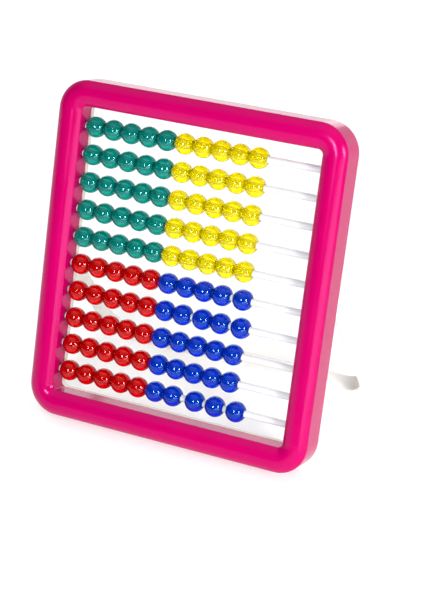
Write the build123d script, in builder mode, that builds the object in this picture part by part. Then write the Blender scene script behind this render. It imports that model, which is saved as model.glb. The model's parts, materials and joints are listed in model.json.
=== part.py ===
"""A child's counting abacus: ten rods of ten beads in a two-part plastic frame on a fold-out stand.

Units are millimetres. The abacus stands open on the plane Z = 0, leaning back, with +X to the viewer's
right, +Y to the rear and the origin on the floor at the middle of its box. Lengths inside the frame are
given in the frame's own plane: x to the right, y up along the frame, and z towards the front, from the
axes of the rods.
"""
import math
import os

from build123d import *

os.makedirs("parts", exist_ok=True)

# The frame: a domed front shell with a back frame set into it
frame_width = 174.0
frame_height = 194.4
front_reach = 11.0
back_reach = 9.4
bar_width = 14.55
outer_corner_radius = 17.5
dome_radius = 9.0
edge_radius = 0.6
shell_wall = 2.0
back_wall = 2.4
back_round = 3.0
parting_depth = 3.5
seam_gap = 0.1
rim_gap = 0.1
flange_height = 3.5
flange_wall = 1.6

# The rods, caught between the two halves of the frame, and the beads on them
row_pitch = 15.8
rod_diameter = 4.0
rod_fit = 0.03
rod_end_gap = 0.3
rod_chamfer = 0.4
rod_tab_width = 3.7
rod_tab_root = 0.8
bead_diameter = 12.0
bead_bore = 4.5
bead_length = 11.05
bead_pitch = 11.13
first_gap = 0.7

# Each rod's beads from the left: colour, how many, and the gap left open before them
upper_row = [("green", 5, 0.0), ("yellow", 5, 0.0)]
lower_row = [("red", 5, 0.0), ("blue", 5, 0.0)]
sixth_row = [("red", 5, 0.0), ("blue", 4, 0.0), ("blue", 1, 1.4)]
seventh_row = [("red", 5, 0.0), ("blue", 2, 0.0), ("blue", 2, 1.1), ("blue", 1, 1.3)]
tenth_row = [("red", 5, 0.0), ("blue", 2, 0.0), ("blue", 1, 2.7), ("blue", 1, 1.4), ("blue", 1, 1.7)]
rows = [upper_row] * 5 + [sixth_row, seventh_row, lower_row, lower_row, tenth_row]

# The stand: a U-shaped strap whose legs turn on ears behind the frame's sides
stand_inset = 0.5
strap_thickness = 2.4
strap_depth = 10.0
stand_corner_radius = 18.0
leg_length = 97.2
open_angle = 51.2
pivot_behind_back = 5.3
pivot_below_middle = 5.7
heel_gap = 0.05
heel_height = 7.0
heel_thickness = 4.5
ear_radius = 4.5
ear_thickness = 4.0
ear_base = 16.0
ear_side_gap = 0.25
pin_diameter = 5.0
pin_fit = 0.06
pin_overrun = 0.8

# The screws that hold the back frame in the front shell
boss_diameter = 6.5
pilot_diameter = 2.6
pilot_depth = 11.0
screw_diameter = 2.5
screw_length = 10.0
screw_hole_diameter = 3.0
screw_head_diameter = 5.2
screw_head_height = 1.3
counterbore_diameter = 5.8
cross_width = 0.7
cross_length = 3.2
cross_depth = 0.8

# Heights and half sizes that follow from them
half_bar = bar_width / 2
inner_face = half_bar - shell_wall
dome_centre = front_reach - dome_radius
dome_edge = dome_centre + math.sqrt(dome_radius**2 - half_bar**2)
under_dome_edge = dome_centre + math.sqrt((dome_radius - shell_wall)**2 - inner_face**2)
path_width = frame_width - bar_width
path_height = frame_height - bar_width
path_radius = outer_corner_radius - half_bar
opening_width = frame_width - 2 * bar_width
leg_outer = frame_width / 2 - stand_inset
leg_inner = leg_outer - strap_thickness
ear_middle = leg_inner - ear_side_gap - ear_thickness / 2
rod_seat = rod_diameter / 2 + rod_fit
rod_length = frame_width - 2 * shell_wall - 2 * rod_end_gap
back_plate_top = -back_reach + back_wall
back_wall_top = -parting_depth - seam_gap
flange_top = back_plate_top + flange_height


def side_step(start, angle, down, forward):
    """Step down and forward, in axes turned by angle, from a point (up, front) of the side view."""
    cosine = math.cos(math.radians(angle))
    sine = math.sin(math.radians(angle))
    return start[0] - down * cosine - forward * sine, start[1] - down * sine + forward * cosine


# The abacus rests on the frame's lower rear edge and on the front edge of the stand's foot
pivot_side = (-pivot_below_middle, -back_reach - pivot_behind_back)
rear_edge = (-frame_height / 2 + edge_radius, -back_reach + edge_radius)
foot_front = side_step(pivot_side, open_angle, leg_length - edge_radius, strap_depth / 2 - edge_radius)
foot_rear = side_step(pivot_side, open_angle, leg_length - edge_radius, edge_radius - strap_depth / 2)
lean = math.atan2(foot_front[0] - rear_edge[0], rear_edge[1] - foot_front[1])


def rearward(point):
    """How far back a point of the side view lies once the frame leans."""
    return point[0] * math.sin(lean) - point[1] * math.cos(lean)


def height(point):
    """How high a point of the side view lies once the frame leans."""
    return point[0] * math.cos(lean) + point[1] * math.sin(lean)


foremost = rearward((-path_height / 2, dome_centre)) - dome_radius
rearmost = rearward(foot_rear) + edge_radius
frame_origin = (0, -(foremost + rearmost) / 2, edge_radius - height(rear_edge))


def leaning_plane(origin, angle):
    """A plane with x to the right and y up, leaning back by an angle in radians."""
    return Plane(origin=origin, x_dir=(1, 0, 0), z_dir=(0, -math.cos(angle), math.sin(angle)))


frame_plane = leaning_plane(frame_origin, lean)
stand_pivot = frame_plane.from_local_coords((0, *pivot_side))
stand_plane = leaning_plane(stand_pivot, lean - math.radians(open_angle))
back_plane = Plane(
    frame_plane.from_local_coords((0, 0, -back_reach)), x_dir=(-1, 0, 0), z_dir=-frame_plane.z_dir
)
pivot_plane = Plane(stand_pivot, x_dir=frame_plane.z_dir, z_dir=(1, 0, 0))
bar_plane = Plane(
    frame_plane.from_local_coords((0, -path_height / 2, 0)), x_dir=frame_plane.y_dir, z_dir=(1, 0, 0)
)


def row_height(row):
    """Height of a rod along the frame, counting rows from the top."""
    return ((len(rows) - 1) / 2 - row) * row_pitch


rod_planes = [
    Plane(
        frame_plane.from_local_coords((0, row_height(row), 0)), x_dir=frame_plane.z_dir, z_dir=(1, 0, 0)
    )
    for row in range(len(rows))
]

corner_reach = path_radius * (1 - math.cos(math.radians(45)))
screw_x = path_width / 2 - corner_reach
screw_y = path_height / 2 - corner_reach
screw_spots = [(x, y) for x in (-screw_x, screw_x) for y in (-screw_y, screw_y)]
screw_spots += [(0, -path_height / 2), (0, path_height / 2)]


def bar_centre_line():
    """The middle of the four bars, starting at the middle of the bottom bar."""
    right = path_width / 2
    top = path_height / 2
    FilletPolyline((0, -top), (right, -top), (right, top), (0, top), radius=path_radius)
    FilletPolyline((0, top), (-right, top), (-right, -top), (0, -top), radius=path_radius)


def save(piece, name):
    """Label a finished piece and write it to its own file."""
    piece.part.label = name
    export_step(piece.part, f"parts/{name}.step")


# Front shell: a channel with a domed face, its outer wall as deep as the frame, its inner wall shorter and
# slotted from the back for the rods
with BuildPart() as front_shell:
    with BuildLine(frame_plane):
        bar_centre_line()
    with BuildSketch(bar_plane):
        with BuildLine():
            Polyline(
                (half_bar, dome_edge), (half_bar, -parting_depth),
                (inner_face, -parting_depth), (inner_face, under_dome_edge),
            )
            ThreePointArc(
                (inner_face, under_dome_edge), (0, front_reach - shell_wall),
                (-inner_face, under_dome_edge),
            )
            Polyline(
                (-inner_face, under_dome_edge), (-inner_face, -back_reach),
                (-half_bar, -back_reach), (-half_bar, dome_edge),
            )
            ThreePointArc((-half_bar, dome_edge), (0, front_reach), (half_bar, dome_edge))
        make_face()
        outer_edges = vertices().group_by(Axis.X)[0]
        inner_edge = vertices().group_by(Axis.X)[-1].sort_by(Axis.Y)[-1]
        fillet([*outer_edges, inner_edge], edge_radius)
    sweep()
    with BuildSketch(frame_plane.offset(back_plate_top)):
        with Locations(*screw_spots):
            Circle(boss_diameter / 2)
    extrude(amount=front_reach - shell_wall / 2 - back_plate_top)
    with BuildSketch(frame_plane.offset(back_plate_top)):
        with Locations(*screw_spots):
            Circle(pilot_diameter / 2)
    extrude(amount=pilot_depth, mode=Mode.SUBTRACT)
    with BuildSketch(*rod_planes):
        Circle(rod_seat)
        with Locations((-parting_depth, 0)):
            Rectangle(2 * parting_depth, 2 * rod_seat)
    extrude(amount=rod_length / 2, both=True, mode=Mode.SUBTRACT)
save(front_shell, "front_shell")

# Back frame: the inner wall from the parting line to the rounded back edge, the back plate, a locating
# flange, tabs that close the slots behind the rods, and two ears
with BuildPart() as back_frame:
    with BuildLine(frame_plane):
        bar_centre_line()
    with BuildSketch(bar_plane):
        rim = shell_wall + rim_gap - half_bar
        wall_face = half_bar - back_wall
        round_centre = (half_bar - back_round, back_round - back_reach)
        with BuildLine():
            Polyline(
                (wall_face, round_centre[1]), (wall_face, back_wall_top),
                (half_bar, back_wall_top), (half_bar, round_centre[1]),
            )
            CenterArc(round_centre, back_round, -90, 90)
            Polyline(
                (round_centre[0], -back_reach), (rim, -back_reach), (rim, flange_top),
                (rim + flange_wall, flange_top), (rim + flange_wall, back_plate_top),
                (round_centre[0], back_plate_top),
            )
            CenterArc(round_centre, back_round - back_wall, -90, 90)
        make_face()
    sweep()
    with BuildSketch(frame_plane.offset(back_plate_top)):
        with Locations(*screw_spots):
            Circle(boss_diameter / 2 + rim_gap)
    extrude(amount=flange_height + rim_gap, mode=Mode.SUBTRACT)
    with Locations(back_plane):
        with Locations(*screw_spots):
            CounterBoreHole(screw_hole_diameter / 2, counterbore_diameter / 2, screw_head_height)
    tab_height = rod_tab_root - back_wall_top
    for side in (-1, 1):
        with BuildSketch(*[plane.offset(side * opening_width / 2) for plane in rod_planes]):
            with Locations((-tab_height / 2, 0)):
                Rectangle(tab_height, rod_tab_width)
            Circle(rod_seat, mode=Mode.SUBTRACT)
        extrude(amount=side * shell_wall)
    with BuildSketch(pivot_plane.offset(ear_middle), pivot_plane.offset(-ear_middle)):
        Circle(ear_radius)
        with Locations((pivot_behind_back + back_wall / 4, 0)):
            Rectangle(back_wall / 2, ear_base)
        make_hull()
        Circle(pin_diameter / 2 + pin_fit, mode=Mode.SUBTRACT)
    extrude(amount=ear_thickness / 2, both=True)
save(back_frame, "back_frame")

# Stand: the strap, and on each leg a round end, a heel that stops it open and a pin that turns in the ear
with BuildPart() as stand:
    with BuildSketch(stand_plane):
        with BuildLine():
            FilletPolyline(
                (-leg_outer, 0), (-leg_outer, -leg_length), (leg_outer, -leg_length), (leg_outer, 0),
                radius=stand_corner_radius,
            )
            offset(amount=strap_thickness, side=Side.LEFT)
        make_face()
    extrude(amount=strap_depth / 2, both=True)
    strap_faces = faces().filter_by(stand_plane)
    fillet(strap_faces.edges(), edge_radius)
    leg_middle = leg_inner + strap_thickness / 2
    heel_reach = pivot_behind_back - heel_gap
    with BuildSketch(pivot_plane.offset(leg_middle), pivot_plane.offset(-leg_middle)):
        Circle(heel_reach)
        with Locations((heel_reach - heel_thickness / 2, -heel_height / 2)):
            Rectangle(heel_thickness, heel_height)
    extrude(amount=strap_thickness / 2, both=True)
    for side in (-1, 1):
        with BuildSketch(pivot_plane.offset(side * leg_inner)):
            Circle(pin_diameter / 2)
        extrude(amount=-side * (ear_side_gap + ear_thickness + pin_overrun))
save(stand, "stand")

# Screws: six cross-head screws, one node
with BuildPart() as screws:
    with BuildSketch(back_plane.offset(-screw_head_height)):
        with Locations(*screw_spots):
            Circle(screw_head_diameter / 2)
    extrude(amount=screw_head_height - rim_gap)
    with BuildSketch(back_plane.offset(-screw_head_height)):
        with Locations(*screw_spots):
            Circle(screw_diameter / 2)
    extrude(amount=-screw_length)
    with BuildSketch(back_plane.offset(-rim_gap)):
        with Locations(*screw_spots):
            Rectangle(cross_length, cross_width)
            Rectangle(cross_width, cross_length)
    extrude(amount=-cross_depth, mode=Mode.SUBTRACT)
save(screws, "screws")

# Rods
for row, rod_plane in enumerate(rod_planes):
    with BuildPart() as rod:
        with BuildSketch(rod_plane):
            Circle(rod_diameter / 2)
        extrude(amount=rod_length / 2, both=True)
        chamfer(edges().filter_by(GeomType.CIRCLE), rod_chamfer)
    save(rod, f"rod_{row + 1}")

# One bead: a ball with a bore, cut square where it meets its neighbours
with BuildPart() as bead:
    with BuildSketch():
        end_x = bead_length / 2
        end_radius = math.sqrt((bead_diameter / 2)**2 - end_x**2)
        with BuildLine():
            ThreePointArc((-end_x, end_radius), (0, bead_diameter / 2), (end_x, end_radius))
            Polyline(
                (end_x, end_radius), (end_x, bead_bore / 2), (-end_x, bead_bore / 2), (-end_x, end_radius)
            )
        make_face()
    revolve(axis=Axis.X)


def bead_centres(row, start, count, opened):
    """Centres of a run of beads, counted from the left, pushed right by the gaps opened before it."""
    first = -opening_width / 2 + first_gap + (start + 0.5) * bead_pitch + opened
    spots = [(first + index * bead_pitch, row_height(row), 0) for index in range(count)]
    return [frame_plane.from_local_coords(spot) for spot in spots]


# Bead runs: each run slides as one, so it is one node of separate beads
for row, runs in enumerate(rows):
    start = 0
    opened = 0
    for index, (colour, count, gap) in enumerate(runs):
        opened += gap
        with BuildPart() as bead_run:
            with Locations(*bead_centres(row, start, count, opened)):
                add(bead.part)
        save(bead_run, f"row_{row + 1}_{colour}_beads_{index + 1}")
        start += count

print(f"lean {math.degrees(lean):.3f} degrees")
print(f"stand pivot {stand_pivot}")
print(f"frame origin {frame_origin}")
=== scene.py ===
"""Looks for the counting abacus: materials, smoother beads, a white studio and the camera."""

import json
import math

import bmesh
import bpy
from mathutils import Matrix, Vector


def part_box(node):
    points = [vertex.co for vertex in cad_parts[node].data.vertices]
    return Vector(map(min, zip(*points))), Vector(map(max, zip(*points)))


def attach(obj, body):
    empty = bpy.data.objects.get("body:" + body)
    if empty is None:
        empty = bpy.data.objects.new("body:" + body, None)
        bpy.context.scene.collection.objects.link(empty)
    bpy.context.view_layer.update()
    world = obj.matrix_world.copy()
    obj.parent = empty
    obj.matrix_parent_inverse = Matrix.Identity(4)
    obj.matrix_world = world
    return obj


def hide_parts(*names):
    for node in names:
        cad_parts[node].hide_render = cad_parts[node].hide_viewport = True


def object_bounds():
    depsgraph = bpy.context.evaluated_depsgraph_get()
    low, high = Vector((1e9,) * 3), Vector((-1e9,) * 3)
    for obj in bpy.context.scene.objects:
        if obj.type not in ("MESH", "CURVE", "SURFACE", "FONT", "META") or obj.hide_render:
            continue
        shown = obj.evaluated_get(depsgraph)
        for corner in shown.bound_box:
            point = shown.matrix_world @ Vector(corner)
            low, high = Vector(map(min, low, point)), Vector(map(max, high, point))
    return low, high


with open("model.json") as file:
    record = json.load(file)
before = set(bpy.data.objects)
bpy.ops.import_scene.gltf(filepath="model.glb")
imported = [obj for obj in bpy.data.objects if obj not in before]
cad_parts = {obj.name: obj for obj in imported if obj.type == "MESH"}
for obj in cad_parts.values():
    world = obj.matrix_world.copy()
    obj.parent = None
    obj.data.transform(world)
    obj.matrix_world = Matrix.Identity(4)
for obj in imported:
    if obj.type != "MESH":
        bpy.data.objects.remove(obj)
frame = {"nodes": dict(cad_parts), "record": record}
cad_low, cad_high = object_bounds()

nodes = frame["nodes"]
bodies = frame["record"]["behaviour"]["bodies"]
body_of_node = {node: body for body, members in bodies.items() for node in members}


# Node helpers

def new_material(name):
    """An empty node material with a Principled shader, and the shader."""
    material = bpy.data.materials.new(name)
    material.use_nodes = True
    shader = material.node_tree.nodes["Principled BSDF"]
    return material, shader


def add_node(material, kind, **sockets):
    """Add a node and set its named input sockets."""
    node = material.node_tree.nodes.new(kind)
    for name, value in sockets.items():
        node.inputs[name.replace("_", " ")].default_value = value
    return node


def link(material, source, target):
    material.node_tree.links.new(source, target)


def noise(material, scale, detail=2.0, stretch=(1, 1, 1)):
    """Noise in object space, stretched along the axes."""
    coordinates = add_node(material, "ShaderNodeTexCoord")
    mapping = add_node(material, "ShaderNodeMapping", Scale=stretch)
    texture = add_node(material, "ShaderNodeTexNoise", Scale=scale, Detail=detail)
    link(material, coordinates.outputs["Object"], mapping.inputs["Vector"])
    link(material, mapping.outputs["Vector"], texture.inputs["Vector"])
    return texture


def ramp(material, source, stops):
    """A colour ramp over (position, colour) stops."""
    node = material.node_tree.nodes.new("ShaderNodeValToRGB")
    elements = node.color_ramp.elements
    while len(elements) < len(stops):
        elements.new(0.5)
    for element, (position, colour) in zip(elements, stops):
        element.position = position
        element.color = (*colour, 1)
    link(material, source, node.inputs["Fac"])
    return node


def to_range(material, source, low, high, from_low=0.0, from_high=1.0):
    """Map a value from one range to another."""
    node = add_node(
        material, "ShaderNodeMapRange", From_Min=from_low, From_Max=from_high, To_Min=low, To_Max=high
    )
    link(material, source, node.inputs["Value"])
    return node


def bump(material, shader, source, distance):
    """Raise the surface by a height field, in metres."""
    node = add_node(material, "ShaderNodeBump", Strength=1.0, Distance=distance)
    link(material, source, node.inputs["Height"])
    link(material, node.outputs["Normal"], shader.inputs["Normal"])


def combine(material, operation, first, second):
    """One arithmetic step on two values."""
    node = add_node(material, "ShaderNodeMath")
    node.operation = operation
    link(material, first, node.inputs[0])
    link(material, second, node.inputs[1])
    return node.outputs["Value"]


# Materials

plastic_ior = 1.35
peel_height = 0.000008
scratch_dulling = 0.25
bead_ior = 1.5
bead_transmission = 0.75
bead_gloss = (0.05, 0.08)
bead_wave_height = 0.000004
bead_density = 500


def moulded_plastic(name, dark, light, roughness, specular, shine=(1, 1, 1)):
    """Glossy moulded plastic: flow mottling, uneven gloss, orange peel and a few fine scratches."""
    material, shader = new_material(name)
    mottle = noise(material, 14.0, 3.0)
    colour = ramp(material, mottle.outputs["Fac"], [(0.3, dark), (0.7, light)])
    link(material, colour.outputs["Color"], shader.inputs["Base Color"])
    gloss = noise(material, 40.0, 3.0)
    rough = to_range(material, gloss.outputs["Fac"], roughness[0], roughness[1], 0.35, 0.65)
    scratches = scratch_marks(material)
    dulling = to_range(material, scratches, 0.0, scratch_dulling)
    scuffed = combine(material, "ADD", rough.outputs["Result"], dulling.outputs["Result"])
    link(material, scuffed, shader.inputs["Roughness"])
    peel = noise(material, 500.0, 1.0)
    relief = combine(material, "SUBTRACT", peel.outputs["Fac"], scratches)
    bump(material, shader, relief, peel_height)
    shader.inputs["IOR"].default_value = plastic_ior
    shader.inputs["Specular IOR Level"].default_value = specular
    shader.inputs["Specular Tint"].default_value = (*shine, 1)
    return material


def scratch_marks(material):
    """Sparse thin marks, each a narrow band of a stretched noise field, kept only in a few patches."""
    field = noise(material, 60.0, 1.0, (0.12, 1.0, 1.6))
    band = to_range(material, field.outputs["Fac"], 0.0, 1.0, 0.497, 0.5)
    other_side = to_range(material, field.outputs["Fac"], 1.0, 0.0, 0.5, 0.503)
    patches = to_range(material, noise(material, 35.0, 2.0).outputs["Fac"], 0.0, 1.0, 0.60, 0.66)
    marks = patches.outputs["Result"]
    for edge in (band, other_side):
        marks = combine(material, "MULTIPLY", marks, edge.outputs["Result"])
    return marks


def clear_bead(name, tint, absorption, shine):
    """Clear tinted plastic, deeper in colour where it is thick, a little cloudy and wavy outside."""
    material, shader = new_material(name)
    shader.inputs["Base Color"].default_value = (*tint, 1)
    shader.inputs["Transmission Weight"].default_value = bead_transmission
    shader.inputs["IOR"].default_value = bead_ior
    shader.inputs["Specular Tint"].default_value = (*shine, 1)
    cloud = noise(material, 90.0, 1.0)
    rough = to_range(material, cloud.outputs["Fac"], bead_gloss[0], bead_gloss[1], 0.4, 0.7)
    link(material, rough.outputs["Result"], shader.inputs["Roughness"])
    bump(material, shader, noise(material, 110.0, 0.0).outputs["Fac"], bead_wave_height)
    volume = add_node(
        material, "ShaderNodeVolumeAbsorption", Color=(*absorption, 1), Density=bead_density
    )
    output = material.node_tree.nodes["Material Output"]
    link(material, volume.outputs["Volume"], output.inputs["Volume"])
    return material


def steel(name):
    """Zinc-plated steel with fine turning marks."""
    material, shader = new_material(name)
    shader.inputs["Base Color"].default_value = (0.55, 0.55, 0.57, 1)
    shader.inputs["Metallic"].default_value = 1.0
    rough = to_range(material, noise(material, 900.0, 3.0).outputs["Fac"], 0.25, 0.45)
    link(material, rough.outputs["Result"], shader.inputs["Roughness"])
    return material


pink = moulded_plastic(
    "pink_shell", (0.38, 0.0, 0.08), (0.42, 0.0, 0.092), (0.15, 0.21), 0.5, shine=(1.0, 0.35, 0.75)
)
white = moulded_plastic("white_moulding", (0.86, 0.84, 0.80), (0.89, 0.87, 0.84), (0.22, 0.32), 0.5)
# The back frame is the same white plastic as the stand; its darker beige colour is painted shade,
# standing in for the shadow it sits in behind the pink shell.
shaded_white_plastic = moulded_plastic("back_moulding_painted_shade", (0.66, 0.61, 0.54), (0.70, 0.66, 0.59), (0.25, 0.35), 0.4)
rod_white = moulded_plastic("rod_plastic", (0.56, 0.57, 0.60), (0.60, 0.61, 0.64), (0.12, 0.2), 0.5)
screw_metal = steel("screw_steel")
bead_materials = {
    "green": clear_bead("green_bead", (0.0, 0.38, 0.33), (0.0, 0.82, 0.78), (0.6, 1.0, 1.0)),
    "yellow": clear_bead("yellow_bead", (0.93, 0.84, 0.0), (0.99, 0.97, 0.1), (1.0, 1.0, 0.7)),
    "red": clear_bead("red_bead", (0.76, 0.0, 0.0), (0.90, 0.0, 0.0), (1.0, 0.6, 0.6)),
    "blue": clear_bead("blue_bead", (0.0, 0.07, 0.72), (0.0, 0.48, 0.90), (0.55, 0.75, 1.0)),
}


def dress(node, material):
    """Give a CAD node its material."""
    slots = nodes[node].data.materials
    slots.clear()
    slots.append(material)


dress("front_shell", pink)
dress("back_frame", shaded_white_plastic)
dress("stand", white)
dress("screws", screw_metal)
for name in nodes:
    if name.startswith("rod_"):
        dress(name, rod_white)


# Beads: each run is rebuilt smoother than its CAD node, with rounded mouths to the bores

single_low, single_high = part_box("row_6_blue_beads_3")
run_low, run_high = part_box("row_1_green_beads_1")
bead_length = single_high.x - single_low.x
bead_radius = (single_high.z - single_low.z) / 2
beads_in_run = 5
bead_pitch = (run_high.x - run_low.x - bead_length) / (beads_in_run - 1)
bore_radius = 0.00225
lip_depth = 0.00006
lip_width = 0.00011
bead_segments = 56
ball_steps = 26


def bead_outline():
    """Outline of half a bead as (along the axis, out from it): ball and two rounded bore mouths."""
    end = bead_length / 2
    first = math.acos((end - lip_depth) / bead_radius)
    step = (math.pi - 2 * first) / ball_steps
    angles = [first + step * index for index in range(ball_steps + 1)]
    ball = [(bead_radius * math.cos(angle), bead_radius * math.sin(angle)) for angle in angles]
    mouth = [
        (end - 2.5 * lip_width, bore_radius),
        (end - lip_depth, bore_radius + 0.3 * lip_width),
        (end, bore_radius + lip_width),
    ]
    return mouth + ball + [(-along, out) for along, out in reversed(mouth)]


def add_bead(shape, outline, centre):
    """Turn the outline about the rod's axis into one closed bead."""
    rings = []
    for along, out in outline:
        ring = []
        for index in range(bead_segments):
            turn = 2 * math.pi * index / bead_segments
            offset = Vector((along, out * math.cos(turn), out * math.sin(turn)))
            ring.append(shape.verts.new(centre + offset))
        rings.append(ring)
    for ring, following in zip(rings, rings[1:] + rings[:1]):
        for index in range(bead_segments):
            after = (index + 1) % bead_segments
            face = shape.faces.new((ring[index], ring[after], following[after], following[index]))
            face.smooth = True


def bead_run(node, material):
    """A run of clear beads in place of a CAD node, riding on its body."""
    low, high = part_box(node)
    count = round((high.x - low.x - bead_length) / bead_pitch) + 1
    first_centre = Vector((low.x + bead_length / 2, (low.y + high.y) / 2, (low.z + high.z) / 2))
    shape = bmesh.new()
    for index in range(count):
        add_bead(shape, bead_outline(), first_centre + Vector((index * bead_pitch, 0, 0)))
    bmesh.ops.recalc_face_normals(shape, faces=shape.faces)
    mesh = bpy.data.meshes.new(node + "_clear")
    shape.to_mesh(mesh)
    shape.free()
    mesh.materials.append(material)
    piece = bpy.data.objects.new(node + "_clear", mesh)
    bpy.context.scene.collection.objects.link(piece)
    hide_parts(node)
    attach(piece, body_of_node[node])


for name in list(nodes):
    for colour, material in bead_materials.items():
        if f"_{colour}_" in name:
            bead_run(name, material)


# Studio

def place(thing, azimuth, elevation, distance, target):
    """Put a lamp or camera at an azimuth and elevation in degrees from a target, and point it there."""
    flat = math.cos(math.radians(elevation))
    direction = Vector((
        math.sin(math.radians(azimuth)) * flat,
        -math.cos(math.radians(azimuth)) * flat,
        math.sin(math.radians(elevation)),
    ))
    thing.location = target + direction * distance
    thing.rotation_euler = direction.to_track_quat("Z", "Y").to_euler()


def softbox(name, azimuth, elevation, distance, width, height, power):
    """A rectangular studio light aimed at the middle of the abacus."""
    data = bpy.data.lights.new(name, "AREA")
    data.shape = "RECTANGLE"
    data.size = width
    data.size_y = height
    data.energy = power
    lamp = bpy.data.objects.new(name, data)
    bpy.context.scene.collection.objects.link(lamp)
    place(lamp, azimuth, elevation, distance, middle)


def studio_floor(half_size):
    """A wide white floor under the abacus, lit from below and brighter towards the back."""
    mesh = bpy.data.meshes.new("floor")
    shape = bmesh.new()
    bmesh.ops.create_grid(shape, x_segments=1, y_segments=1, size=half_size)
    shape.to_mesh(mesh)
    shape.free()
    floor = bpy.data.objects.new("floor", mesh)
    bpy.context.scene.collection.objects.link(floor)
    material, shader = new_material("floor_white")
    shader.inputs["Base Color"].default_value = (0.63, 0.63, 0.63, 1)
    shader.inputs["Roughness"].default_value = 0.6
    shader.inputs["Emission Color"].default_value = (1, 1, 1, 1)
    coordinates = add_node(material, "ShaderNodeTexCoord")
    axes = add_node(material, "ShaderNodeSeparateXYZ")
    link(material, coordinates.outputs["Object"], axes.inputs["Vector"])
    glow = to_range(material, axes.outputs["Y"], 0.4, 0.8, 0.8, 1.8)
    link(material, glow.outputs["Result"], shader.inputs["Emission Strength"])
    mesh.materials.append(material)


def studio_world(dark, bright):
    """A dim room in front, and a bright white backdrop behind and overhead."""
    world = bpy.data.worlds.new("studio")
    world.use_nodes = True
    direction = add_node(world, "ShaderNodeTexCoord")
    axes = add_node(world, "ShaderNodeSeparateXYZ")
    link(world, direction.outputs["Generated"], axes.inputs["Vector"])
    behind = to_range(world, axes.outputs["Y"], dark, bright, -0.1, 0.5)
    overhead = to_range(world, axes.outputs["Z"], dark, bright, 0.6, 0.95)
    brighter = combine(world, "MAXIMUM", behind.outputs["Result"], overhead.outputs["Result"])
    background = world.node_tree.nodes["Background"]
    background.inputs["Color"].default_value = (1, 1, 1, 1)
    link(world, brighter, background.inputs["Strength"])
    bpy.context.scene.world = world


middle = Vector((0, 0, (cad_low.z + cad_high.z) / 2))
studio_floor(3.0)
studio_world(0.02, 0.95)
softbox("front_light", 4, 27, 1.5, 0.24, 0.5, 16)
softbox("side_light", 62, 21, 1.5, 0.24, 0.5, 17)
softbox("low_light", 44, 2, 1.5, 1.1, 0.36, 7)
softbox("back_light", -157, 12, 1.5, 1.1, 0.9, 4)

camera_data = bpy.data.cameras.new("camera")
camera_data.lens = 106.058
camera_data.sensor_width = 36
camera = bpy.data.objects.new("camera", camera_data)
bpy.context.scene.collection.objects.link(camera)
place(camera, 26.482, 30.169, 0.99274, Vector((0.011143, -0.006026, 0.076174)))
roll = Matrix.Rotation(math.radians(-1.314), 3, "Z")
camera.rotation_euler = (camera.rotation_euler.to_matrix() @ roll).to_euler()
bpy.context.scene.camera = camera
bpy.context.scene.view_settings.view_transform = "Standard"
